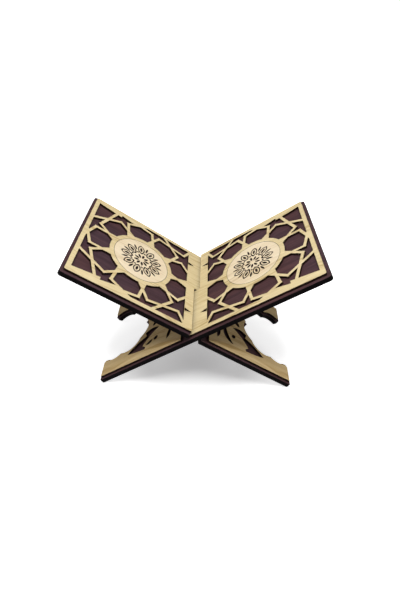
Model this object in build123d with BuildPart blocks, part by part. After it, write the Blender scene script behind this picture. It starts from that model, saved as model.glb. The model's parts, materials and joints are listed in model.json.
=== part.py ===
import os
from math import atan2, cos, degrees, hypot, radians, sin

from build123d import *

os.makedirs("parts", exist_ok=True)

# A folding book stand: two straight boards crossing through half-width slots, so each board is
# panel on one side of the crossing and leg on the other. Both carry a thin light fretwork skin
# and a round medallion. +X runs across the open stand, +Y from the reader to the back, Z up,
# floor at z = 0.

# ---------------------------------------------------------------- driving dimensions (mm)
board_w = 220.0        # full width of a panel, along Y
panel_len = 217.0      # fold axis to the upper edge of a panel
leg_len = 188.0        # fold axis to the end of a foot
leg_back = 82.0        # rear side of the leg, from the middle of the panel
core_t = 8.0           # dark board
skin_t = 4.0           # fretwork and medallion
tilt = 33.5            # panel angle to the floor when fully open
slot_half = 9.42       # half length of the crossing slot
slot_gap = 0.15        # clearance at the blind end of each slot
neck = -14.0           # where the panel width steps in to the leg width

# panel fretwork, laid out round the middle of the medallion
medal_u = 110.8        # medallion centre, from the fold axis
medal_r = 47.7
kerf = 0.5             # gap round the medallion
ring_r = 55.9
petals = 9
band = 4.9             # width of the fretwork bars
petal_half = 23.2      # petal axis to the middle of its side bar
star_d = 88.0          # centre to the straight bars that close the petals
skin_edge = 212.4      # upper edge of the panel skin
skin_half = 104.8
win_low, win_high, win_half = 23.9, 205.5, 97.0

# leg fretwork
leg_skin_top = -22.0
leg_margin = 4.0

total_t = core_t + skin_t
half_w = board_w / 2
half_step = radians(180 / petals)
axis_z = leg_len * sin(radians(tilt)) + total_t / 2 * cos(radians(tilt))
leg_mid = (leg_back - half_w) / 2          # middle of the leg, from the middle of the panel
core_low, core_top = -total_t / 2, total_t / 2 - skin_t


def board_plane(side):
    """Board plane through the fold axis: local x runs up the panel, local z is the upper face."""
    return Plane((0, 0, axis_z), x_dir=(side * cos(radians(tilt)), 0, sin(radians(tilt))),
                 z_dir=(-side * sin(radians(tilt)), 0, cos(radians(tilt))))


def leg_points(front, side, points):
    """Points on the near (+1) or far (-1) half of the leg; front is the local y that faces the reader."""
    return [(u, front * (side * s - leg_mid)) for u, s in points]


def leg_outline(front):
    """Leg with its scalloped arch between two feet."""
    half = [(-leg_len, 60), (-179.5, 53.2), (-165, 58.5), (-148.5, 52.5), (-127, 53.7),
            (-112.9, 38.2), (-103.6, 28.1), (-98.8, 17), (-100, 8), (-105.5, 0)]
    near, far = leg_points(front, 1, half), leg_points(front, -1, half)
    with BuildLine() as path:
        Polyline((neck, front * half_w), (-leg_len, front * half_w), near[0], near[1])
        for i in (1, 3, 5, 7):
            ThreePointArc(near[i], near[i + 1], near[i + 2])
            ThreePointArc(far[i], far[i + 1], far[i + 2])
        Polyline(far[1], far[0], (-leg_len, -front * leg_back), (neck, -front * leg_back),
                 (neck, front * half_w))
    return path.edges()


def barbed_leaf(front, side):
    """Long barbed leaf cut beside the arch."""
    p = leg_points(front, side, [(-131.2, 69.2), (-114, 72.6), (-94.3, 74.3), (-93.7, 70.7),
                                 (-100.2, 65.2), (-85.2, 45.6), (-70, 34), (-82, 30.6),
                                 (-97.8, 36.2), (-94.2, 44.8), (-112, 53.5)])
    with BuildLine() as path:
        ThreePointArc(p[0], p[1], p[2])
        Polyline(p[2], p[3], p[4])
        ThreePointArc(p[4], p[5], p[6])
        ThreePointArc(p[6], p[7], p[8])
        Line(p[8], p[9])
        ThreePointArc(p[9], p[10], p[0])
    return path.edges()


def crescent(tip, bulge, end, hollow):
    with BuildLine() as path:
        ThreePointArc(tip, bulge, end)
        ThreePointArc(end, hollow, tip)
    return path.edges()


def leaf(start, end, half_width, angle):
    """Pointed leaf lying on a ray from the origin."""
    middle = (start + end) / 2
    outline = crescent((start, 0), (middle, half_width), (end, 0), (middle, -half_width))
    return Rot(0, 0, angle) * make_face(outline, mode=Mode.PRIVATE)


def turned(r, t, angle):
    """Point at radius r and sideways offset t from a ray at the given angle, about the medallion."""
    return (medal_u + r * cos(angle) - t * sin(angle), r * sin(angle) + t * cos(angle))


def bar(start, end):
    """Straight fretwork bar between two points of the open sketch."""
    run, rise = end[0] - start[0], end[1] - start[1]
    with Locations(((start[0] + end[0]) / 2, (start[1] + end[1]) / 2)):
        Rectangle(hypot(run, rise) + band, band, rotation=degrees(atan2(rise, run)))


# ---------------------------------------------------------------- panel pattern, drawn flat
corner_r = (star_d - petal_half * sin(half_step)) / cos(half_step)   # outer corner of a petal
tip_r = star_d / cos(half_step)
with BuildSketch() as pattern:
    with Locations((medal_u, 0)):
        Circle(ring_r)
    for i in range(petals):
        # the ring is thicker where two petals meet
        with Locations(turned(ring_r + 2, 0, (2 * i + 1) * half_step)):
            Circle(3.2)
        axis = i * 2 * half_step
        for side in (1, -1):
            corner = turned(corner_r, side * petal_half, axis)
            tip = turned(tip_r, 0, axis)
            bar(turned(ring_r - 8, side * petal_half, axis), corner)
            # the closing bar runs on past the tip, most of them as far as the frame
            past = 28 if (i, side) in ((3, -1), (6, 1)) else 60
            scale = 1 + past / hypot(tip[0] - corner[0], tip[1] - corner[1])
            bar(corner, (corner[0] + scale * (tip[0] - corner[0]),
                         corner[1] + scale * (tip[1] - corner[1])))
    for side in (1, -1):
        bar((win_low, side * win_half), (35, side * 76.7))
        with BuildLine():
            Polyline((win_high, side * win_half), (win_high, side * 93), (162.9, side * 87.1),
                     (162.9, side * 92.9), (140, side * 88), (119, side * win_half), close=True)
        make_face()
    # the two bars that meet at the seam enclose no hole
    with BuildLine():
        Polyline((win_low, -5), (38, 0), (win_low, 5), close=True)
    make_face()
    with Locations(((win_low + win_high) / 2, 0)):
        Rectangle(win_high - win_low, 2 * win_half, mode=Mode.INTERSECT)

# medallion ornament: a ring of veined leaves, slim leaves and beads between them, small leaves inside
with BuildSketch() as ornament:
    for i in range(petals):
        on, between = i * 2 * degrees(half_step), (2 * i + 1) * degrees(half_step)
        add(leaf(15, 37, 6.2, on))
        add(leaf(18, 34.4, 4.4, on), mode=Mode.SUBTRACT)
        add(leaf(20.5, 31.5, 2.1, on))
        add(leaf(23.5, 36.5, 1.7, between))
        add(leaf(4.5, 14, 2, between))
        with PolarLocations(18.6, 1, between):
            Circle(1.7)

parts = []
for name, side in (("a", -1), ("b", 1)):
    plane = board_plane(side)
    front = -side
    # board a is slotted from the front edge, board b from the back edge
    slot_side = front if name == "a" else -front

    with BuildPart() as board:
        with BuildSketch(plane.offset(core_low)):
            with Locations(((panel_len + neck) / 2, 0)):
                Rectangle(panel_len - neck, board_w)
            make_face(leg_outline(front))
            with Locations((0, slot_side * (half_w - slot_gap) / 2)):
                Rectangle(2 * slot_half, half_w + slot_gap, mode=Mode.SUBTRACT)
            if name == "b":
                # below its slot board b is only as wide as the leg
                with Locations((neck, slot_side * (leg_back + half_w + 1) / 2)):
                    Rectangle(-neck, half_w - leg_back + 1, mode=Mode.SUBTRACT)
        extrude(amount=core_t)
        square = board.edges().filter_by(Axis(plane.origin, plane.z_dir))
        along = Axis(plane.origin, plane.x_dir)
        fillet(square.group_by(along)[-1], radius=5)
        fillet(board.edges().filter_by(Axis(plane.origin, plane.z_dir)).group_by(along)[0], radius=2)
    board.part.label = f"board_{name}"
    parts.append(board.part)

    with BuildPart() as panel_fret:
        with BuildSketch(plane.offset(core_top)) as outline:
            with Locations(((skin_edge - slot_half) / 2, 0)):
                Rectangle(skin_edge + slot_half, 2 * skin_half)
            fillet(outline.vertices().group_by(Axis.X)[-1], radius=2.5)
            with Locations(((win_low + win_high) / 2, 0)):
                Rectangle(win_high - win_low, 2 * win_half, mode=Mode.SUBTRACT)
            add(pattern.sketch)
            with Locations((medal_u, 0)):
                Circle(medal_r + kerf, mode=Mode.SUBTRACT)
            with Locations((0, slot_side * (half_w - slot_gap) / 2)):
                Rectangle(2 * slot_half, half_w + slot_gap, mode=Mode.SUBTRACT)
            for edge in (1, -1):
                with BuildLine():
                    Polyline((win_low, edge * 66.6), (12.5, edge * 63.1), (win_low, edge * 59.6),
                             (win_low + 1, edge * 59.6), (win_low + 1, edge * 66.6), close=True)
                make_face(mode=Mode.SUBTRACT)
        extrude(amount=skin_t)
    panel_fret.part.label = f"panel_fret_{name}"
    parts.append(panel_fret.part)

    with BuildPart() as medallion:
        with BuildSketch(plane.offset(core_top)):
            with Locations((medal_u, 0)):
                Circle(medal_r)
        extrude(amount=skin_t)
        with BuildSketch(plane.offset(core_top + skin_t)):
            with Locations((medal_u, 0)):
                add(ornament.sketch)
        extrude(amount=-1.2, mode=Mode.SUBTRACT)
    medallion.part.label = f"medallion_{name}"
    parts.append(medallion.part)

    with BuildPart() as leg_fret:
        with BuildSketch(plane.offset(core_top)):
            make_face(leg_outline(front))
            offset(amount=-leg_margin, kind=Kind.INTERSECTION, mode=Mode.REPLACE)
            with Locations((leg_skin_top + 20, 0)):
                Rectangle(40, board_w, mode=Mode.SUBTRACT)
            for half in (1, -1):
                make_face(barbed_leaf(front, half), mode=Mode.SUBTRACT)
                cuts = [[(-84, 25), (-76, 21), (-74, 13), (-82, 17)]]
                if name == "a":
                    cuts += [[(-55, 36), (-52, 60), (-69, 73), (-60.5, 58)],
                             [(-42.5, 50), (-37.5, 62), (-38, 73), (-43.5, 63)],
                             [(-73.8, 52), (-67.5, 53.2), (-68, 58.8), (-72.8, 57)]]
                else:
                    cuts += [[(-46, 50), (-44, 62), (-51, 73), (-50.5, 62)],
                             [(-92.5, 67), (-84.8, 65.6), (-80, 58.5), (-87, 60.4)],
                             [(-77.4, 61.2), (-71.6, 61), (-71, 54.6), (-76.4, 56)]]
                for cut in cuts:
                    make_face(crescent(*leg_points(front, half, cut)), mode=Mode.SUBTRACT)
            make_face(crescent(*leg_points(front, 1, [(-66, 0), (-50, 8), (-34, 0), (-50, -8)])),
                      mode=Mode.SUBTRACT)
        extrude(amount=skin_t)
    leg_fret.part.label = f"leg_fret_{name}"
    parts.append(leg_fret.part)

for piece in parts:
    export_step(piece, f"parts/{piece.label}.step")
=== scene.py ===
import json
import math

import bmesh
import bpy
from mathutils import Matrix, Vector

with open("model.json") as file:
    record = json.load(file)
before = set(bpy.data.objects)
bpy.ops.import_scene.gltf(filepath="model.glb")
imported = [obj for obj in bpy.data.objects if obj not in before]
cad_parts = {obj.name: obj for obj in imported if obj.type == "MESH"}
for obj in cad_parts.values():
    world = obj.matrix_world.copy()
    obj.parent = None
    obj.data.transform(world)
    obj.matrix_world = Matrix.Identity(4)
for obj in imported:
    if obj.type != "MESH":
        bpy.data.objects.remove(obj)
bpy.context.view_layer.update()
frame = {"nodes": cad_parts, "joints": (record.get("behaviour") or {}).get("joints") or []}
nodes = frame["nodes"]
scene = bpy.context.scene

TILT = math.radians(33.5)                  # panel angle to the floor
SIDES = {"a": -1, "b": 1}                  # board a's panel is on -X, board b's on +X
AXIS_Z = frame["joints"][0]["pos_m"][2]    # height of the fold axis
HALF_THICKNESS = 0.006                     # middle plane of a board to the face of its skin
ENGRAVING = 0.0012                         # depth of the lines in the medallions

# width of the small rounding along the edges of each kind of piece
BOARD_ROUNDING, FRET_ROUNDING, DISC_ROUNDING = 0.0007, 0.0003, 0.00018

SURROUND_RADIUS = 12.0                     # white backdrop all round
FLOOR_HALF = 13.0                          # the floor runs on just past it
WORLD_STRENGTH = 0.25


# ------------------------------------------------------------------ node helpers
def new_material(name):
    mat = bpy.data.materials.new(name)
    mat.use_nodes = True
    tree = mat.node_tree
    tree.nodes.clear()
    out = tree.nodes.new("ShaderNodeOutputMaterial")
    shader = tree.nodes.new("ShaderNodeBsdfPrincipled")
    tree.links.new(shader.outputs[0], out.inputs[0])
    return mat, tree, shader


class Graph:
    """Short names for the few node kinds the woods are made of."""

    def __init__(self, tree):
        self.tree = tree

    def put(self, socket, value):
        if isinstance(value, bpy.types.NodeSocket):
            self.tree.links.new(value, socket)
        else:
            socket.default_value = value

    def math(self, kind, a, b=0.0, c=None):
        n = self.tree.nodes.new("ShaderNodeMath")
        n.operation = kind
        self.put(n.inputs[0], a)
        self.put(n.inputs[1], b)
        if c is not None:
            self.put(n.inputs[2], c)
        return n.outputs[0]

    def vector(self, kind, a, b=(0, 0, 0)):
        n = self.tree.nodes.new("ShaderNodeVectorMath")
        n.operation = kind
        self.put(n.inputs[0], a)
        self.put(n.inputs[1], b)
        return n.outputs["Value"] if kind in ("DOT_PRODUCT", "LENGTH") else n.outputs[0]

    def noise(self, where, scale, detail=4.0, rough=0.55, distortion=0.0):
        n = self.tree.nodes.new("ShaderNodeTexNoise")
        self.put(n.inputs["Vector"], where)
        n.inputs["Scale"].default_value = scale
        n.inputs["Detail"].default_value = detail
        n.inputs["Roughness"].default_value = rough
        n.inputs["Distortion"].default_value = distortion
        return n.outputs["Fac"]

    def ramp(self, value, stops, smooth=False):
        n = self.tree.nodes.new("ShaderNodeValToRGB")
        self.put(n.inputs[0], value)
        points = n.color_ramp
        points.interpolation = "EASE" if smooth else "LINEAR"
        while len(points.elements) < len(stops):
            points.elements.new(0.5)
        for element, (at, colour) in zip(points.elements, stops):
            element.position = at
            element.color = (*colour, 1.0)
        return n.outputs[0]

    def mix(self, factor, a, b, kind="MIX"):
        n = self.tree.nodes.new("ShaderNodeMix")
        n.data_type, n.blend_type = "RGBA", kind
        self.put(n.inputs[0], factor)
        self.put(n.inputs[6], a if isinstance(a, bpy.types.NodeSocket) else (*a, 1.0))
        self.put(n.inputs[7], b if isinstance(b, bpy.types.NodeSocket) else (*b, 1.0))
        return n.outputs[2]

    def bump(self, height, strength, distance, normal=None):
        n = self.tree.nodes.new("ShaderNodeBump")
        n.inputs["Strength"].default_value = strength
        n.inputs["Distance"].default_value = distance
        self.put(n.inputs["Height"], height)
        if normal is not None:
            self.put(n.inputs["Normal"], normal)
        return n.outputs[0]


def linear(r, g, b):
    """sRGB 0-255 to scene linear."""
    def one(c):
        c /= 255
        return c / 12.92 if c <= 0.04045 else ((c + 0.055) / 1.055) ** 2.4
    return one(r), one(g), one(b)


def board_space(graph, side):
    """Coordinates on a board: x up the panel, y across it, z through it, in metres, and how far
    a point's surface faces up or down the board rather than sideways."""
    coord = graph.tree.nodes.new("ShaderNodeTexCoord").outputs["Object"]
    up = (side * math.cos(TILT), 0.0, math.sin(TILT))
    out = (-side * math.sin(TILT), 0.0, math.cos(TILT))
    local = graph.vector("SUBTRACT", coord, (0.0, 0.0, AXIS_Z))
    join = graph.tree.nodes.new("ShaderNodeCombineXYZ")
    graph.put(join.inputs[0], graph.vector("DOT_PRODUCT", local, up))
    graph.put(join.inputs[1], graph.vector("DOT_PRODUCT", local, (0.0, 1.0, 0.0)))
    graph.put(join.inputs[2], graph.vector("DOT_PRODUCT", local, out))
    normal = graph.tree.nodes.new("ShaderNodeTexCoord").outputs["Normal"]
    return join.outputs[0], graph.vector("DOT_PRODUCT", normal, out)


def sideways(graph, value):
    """Vector that shifts the grain across the board."""
    join = graph.tree.nodes.new("ShaderNodeCombineXYZ")
    graph.put(join.inputs[1], value)
    return join.outputs[0]


def stretched(graph, where, scale, shift):
    """Coordinates scaled along, across and through the board, so that noise turns into grain."""
    n = graph.tree.nodes.new("ShaderNodeMapping")
    graph.put(n.inputs["Vector"], where)
    n.inputs["Location"].default_value = shift
    n.inputs["Scale"].default_value = scale
    return n.outputs[0]


# ------------------------------------------------------------------ materials
def light_wood(name, side, base, dark, pale, shift):
    """Pale straight-grained veneer, cut by laser: satin face, and walls and rims scorched dark and
    darkened further as painted shade.
    """
    mat, tree, shader = new_material(name)
    g = Graph(tree)
    where, facing = board_space(g, side)
    bend = g.noise(stretched(g, where, (7.0, 18.0, 7.0), shift), 1.0, 2.0)
    grain_at = g.vector("ADD", stretched(g, where, (9.0, 170.0, 9.0), shift),
                        sideways(g, g.math("MULTIPLY", bend, 9.0)))
    streak = g.noise(grain_at, 1.0, 5.0, 0.6)
    fine = g.noise(stretched(g, where, (45.0, 900.0, 45.0), shift), 1.0, 4.0, 0.65)
    cloud = g.noise(stretched(g, where, (12.0, 26.0, 12.0), shift), 1.0, 2.0)
    colour = g.ramp(streak, [(0.34, dark), (0.47, base), (0.56, base), (0.68, pale)])
    fleck = g.ramp(fine, [(0.30, (1, 1, 1)), (0.52, (0, 0, 0))])
    colour = g.mix(g.math("MULTIPLY", fleck, 0.6), colour, dark)
    glow = g.ramp(cloud, [(0.40, (0, 0, 0)), (0.70, (1, 1, 1))])
    colour = g.mix(g.math("MULTIPLY", glow, 0.35), colour, pale)
    # painted shade: walls and rims take the laser scorch made darker still, standing for the shade
    # inside the holes
    scorch_and_painted_shade = g.ramp(g.noise(stretched(g, where, (260.0, 260.0, 700.0), shift), 1.0, 3.0),
                  [(0.3, linear(22, 10, 7)), (0.7, linear(46, 24, 17))])
    on_face = g.ramp(facing, [(0.80, (0, 0, 0)), (0.97, (1, 1, 1))])
    g.put(shader.inputs["Base Color"], g.mix(on_face, scorch_and_painted_shade, colour))
    g.put(shader.inputs["Roughness"], g.math("MULTIPLY_ADD", fine, 0.20, 0.45))
    shader.inputs["Specular IOR Level"].default_value = 0.25
    g.put(shader.inputs["Normal"], g.bump(fine, 0.30, 0.0002, g.bump(streak, 0.15, 0.0004)))
    return mat


def dark_wood(name, side, shift):
    """Dark stained board: brown with a violet cast on the faces, nearly black on the cut edges."""
    mat, tree, shader = new_material(name)
    g = Graph(tree)
    where, facing = board_space(g, side)
    streak = g.noise(stretched(g, where, (9.0, 150.0, 9.0), shift), 1.0, 6.0, 0.6, 0.3)
    pore = g.noise(stretched(g, where, (80.0, 1600.0, 80.0), shift), 1.0, 3.0, 0.5)
    cloud = g.noise(stretched(g, where, (14.0, 20.0, 14.0), shift), 1.0, 3.0)
    face = g.ramp(streak, [(0.30, linear(60, 42, 44)), (0.5, linear(76, 54, 57)),
                           (0.70, linear(92, 64, 65))])
    face = g.mix(g.math("MULTIPLY", g.ramp(pore, [(0.52, (0, 0, 0)), (0.70, (1, 1, 1))]), 0.5),
                 face, linear(44, 28, 30))
    face = g.mix(g.math("MULTIPLY", cloud, 0.25), face, linear(96, 60, 58))
    edge = g.ramp(g.noise(stretched(g, where, (40.0, 200.0, 900.0), shift), 1.0, 4.0),
                  [(0.35, linear(9, 7, 8)), (0.65, linear(22, 16, 17))])
    tint = g.noise(stretched(g, where, (9.0, 9.0, 9.0), shift), 1.0, 1.0)
    greyer = g.mix(1.0, face, (0.86, 0.98, 1.12), "MULTIPLY")
    face = g.mix(g.ramp(tint, [(0.42, (0, 0, 0)), (0.62, (1, 1, 1))]), face, greyer)
    on_face = g.ramp(g.math("ABSOLUTE", facing), [(0.80, (0, 0, 0)), (0.99, (1, 1, 1))])
    g.put(shader.inputs["Base Color"], g.mix(on_face, edge, face))
    g.put(shader.inputs["Roughness"], g.math("MULTIPLY_ADD", streak, 0.2, 0.36))
    shader.inputs["Specular IOR Level"].default_value = 0.1
    g.put(shader.inputs["Normal"], g.bump(pore, 0.35, 0.0002, g.bump(streak, 0.15, 0.0004)))
    return mat


def medallion_wood(name, side, shift):
    """Pinkish veneer disc whose engraved lines are scorched dark."""
    mat = light_wood(name, side, linear(232, 214, 182), linear(212, 188, 150), linear(240, 225, 198),
                     shift)
    tree = mat.node_tree
    g = Graph(tree)
    shader = next(n for n in tree.nodes if n.type == "BSDF_PRINCIPLED")
    veneer = shader.inputs["Base Color"].links[0].from_socket
    where = board_space(g, side)[0]
    split = tree.nodes.new("ShaderNodeSeparateXYZ")
    g.put(split.inputs[0], where)
    scorched = g.ramp(g.noise(stretched(g, where, (500.0, 500.0, 500.0), shift), 1.0, 3.0),
                      [(0.3, linear(28, 17, 16)), (0.7, linear(56, 36, 32))])
    engraved = g.math("LESS_THAN", split.outputs[2], HALF_THICKNESS - ENGRAVING / 2)
    g.put(shader.inputs["Base Color"], g.mix(engraved, veneer, scorched))
    return mat


def finish_piece(obj, material, width):
    """Material, and a small rounding of every sharp edge."""
    obj.data.materials.clear()
    obj.data.materials.append(material)
    weld = obj.modifiers.new("weld", "WELD")
    weld.merge_threshold = 0.000002
    flat = obj.modifiers.new("flat", "DECIMATE")
    flat.decimate_type = "DISSOLVE"
    flat.angle_limit = math.radians(0.5)
    soft = obj.modifiers.new("soft_edges", "BEVEL")
    soft.width = width
    soft.segments = 2
    soft.limit_method = "ANGLE"
    soft.angle_limit = math.radians(35)
    soft.use_clamp_overlap = True
    soft.harden_normals = False


for letter, side in SIDES.items():
    shift = (0.0, 0.0, 0.0) if side < 0 else (3.1, 7.7, 1.3)
    board = dark_wood(f"dark_board_{letter}", side, shift)
    fret = light_wood(f"fret_veneer_{letter}", side, linear(219, 200, 154), linear(184, 158, 106),
                      linear(231, 214, 172), shift)
    finish_piece(nodes[f"board_{letter}"], board, BOARD_ROUNDING)
    finish_piece(nodes[f"panel_fret_{letter}"], fret, FRET_ROUNDING)
    # painted shade: the legs' veneer is a darker, warmer copy of the panel veneer, standing for the
    # warm shade beneath the panels
    leg_painted_shade_veneer = light_wood(f"leg_veneer_painted_shade_{letter}", side, linear(216, 187, 134), linear(184, 150, 94),
                     linear(232, 206, 156), (5.3, 2.9, 0.0))
    finish_piece(nodes[f"leg_fret_{letter}"], leg_painted_shade_veneer, FRET_ROUNDING)
    disc = medallion_wood(f"medallion_veneer_{letter}", side, shift)
    finish_piece(nodes[f"medallion_{letter}"], disc, DISC_ROUNDING)


# ------------------------------------------------------------------ stage, light and camera
def stage_piece(name, mesh, brightness):
    """White glowing backdrop piece that lights nothing but the camera's own view."""
    piece = bpy.data.objects.new(name, mesh)
    scene.collection.objects.link(piece)
    mat, tree, shader = new_material(f"{name}_white")
    shader.inputs["Base Color"].default_value = (brightness, brightness, brightness, 1)
    shader.inputs["Roughness"].default_value = 0.9
    shader.inputs["Specular IOR Level"].default_value = 0.0
    shader.inputs["Emission Color"].default_value = (1, 1, 1, 1)
    shader.inputs["Emission Strength"].default_value = 1.0
    mesh.materials.append(mat)
    piece.visible_diffuse = False
    piece.visible_glossy = False
    return piece, tree, shader


floor_mesh = bpy.data.meshes.new("floor")
floor_corners = [(x * FLOOR_HALF, y * FLOOR_HALF, 0) for x, y in ((-1, -1), (1, -1), (1, 1), (-1, 1))]
floor_mesh.from_pydata(floor_corners, [], [(0, 1, 2, 3)])
floor, floor_tree, floor_shader = stage_piece("floor", floor_mesh, 0.78)
# the floor glows white, with a painted shadow: the glow is turned down beneath the stand and rises to
# full white around it, on top of the lamps' real shadows
under = Graph(floor_tree)
painted_shadow_spot = floor_tree.nodes.new("ShaderNodeTexCoord").outputs["Object"]
painted_shadow_spot = under.vector("MULTIPLY", under.vector("ADD", painted_shadow_spot, (0.0, 0.06, 0.0)), (6.6, 9.0, 0.0))
glow = under.ramp(under.math("MULTIPLY", under.vector("LENGTH", painted_shadow_spot), 0.5),
                  [(0.0, (0.34, 0.34, 0.34)), (0.25, (0.40, 0.40, 0.40)), (0.50, (0.72, 0.72, 0.72)),
                   (0.80, (1.0, 1.0, 1.0))], smooth=True)
under.put(floor_shader.inputs["Emission Strength"], glow)

surround_mesh = bpy.data.meshes.new("surround")
surround_form = bmesh.new()
bmesh.ops.create_uvsphere(surround_form, u_segments=48, v_segments=24, radius=SURROUND_RADIUS)
surround_form.to_mesh(surround_mesh)
surround_form.free()
surround = stage_piece("surround", surround_mesh, 0.0)[0]
surround.visible_shadow = False

world = bpy.data.worlds.new("studio")
world.use_nodes = True
world.node_tree.nodes["Background"].inputs[0].default_value = (1, 1, 1, 1)
world.node_tree.nodes["Background"].inputs[1].default_value = WORLD_STRENGTH
scene.world = world


def softbox(name, place, size, power):
    """Square area light aimed at the middle of the stand."""
    data = bpy.data.lights.new(name, "AREA")
    data.shape, data.size, data.energy = "SQUARE", size, power
    lamp = bpy.data.objects.new(name, data)
    scene.collection.objects.link(lamp)
    lamp.location = place
    lamp.rotation_euler = (Vector((0, 0, 0.1)) - Vector(place)).to_track_quat("-Z", "Y").to_euler()


softbox("overhead", (0.0, -0.32, 1.7), 0.8, 24.0)
softbox("left", (-1.7, -0.1, 1.1), 1.0, 3.0)
softbox("right", (1.7, -0.1, 1.1), 1.0, 3.0)

lens = bpy.data.cameras.new("camera")
lens.sensor_width = 36.0
lens.lens = 24.621
lens.clip_start = 0.01
camera = bpy.data.objects.new("camera", lens)
scene.collection.objects.link(camera)
camera_place = Vector((0.01620, -0.54856, 0.54485))
yaw, pitch, roll = math.radians(-1.133), math.radians(-39.398), math.radians(0.474)
ahead = Vector((math.sin(yaw) * math.cos(pitch), math.cos(yaw) * math.cos(pitch), math.sin(pitch)))
level = Vector((math.cos(yaw), -math.sin(yaw), 0))
over = level.cross(ahead)
right = math.cos(roll) * level + math.sin(roll) * over
above = -math.sin(roll) * level + math.cos(roll) * over
camera.matrix_world = Matrix((
    (right.x, above.x, -ahead.x, camera_place.x),
    (right.y, above.y, -ahead.y, camera_place.y),
    (right.z, above.z, -ahead.z, camera_place.z),
    (0, 0, 0, 1)))
scene.camera = camera
scene.view_settings.view_transform = "Standard"
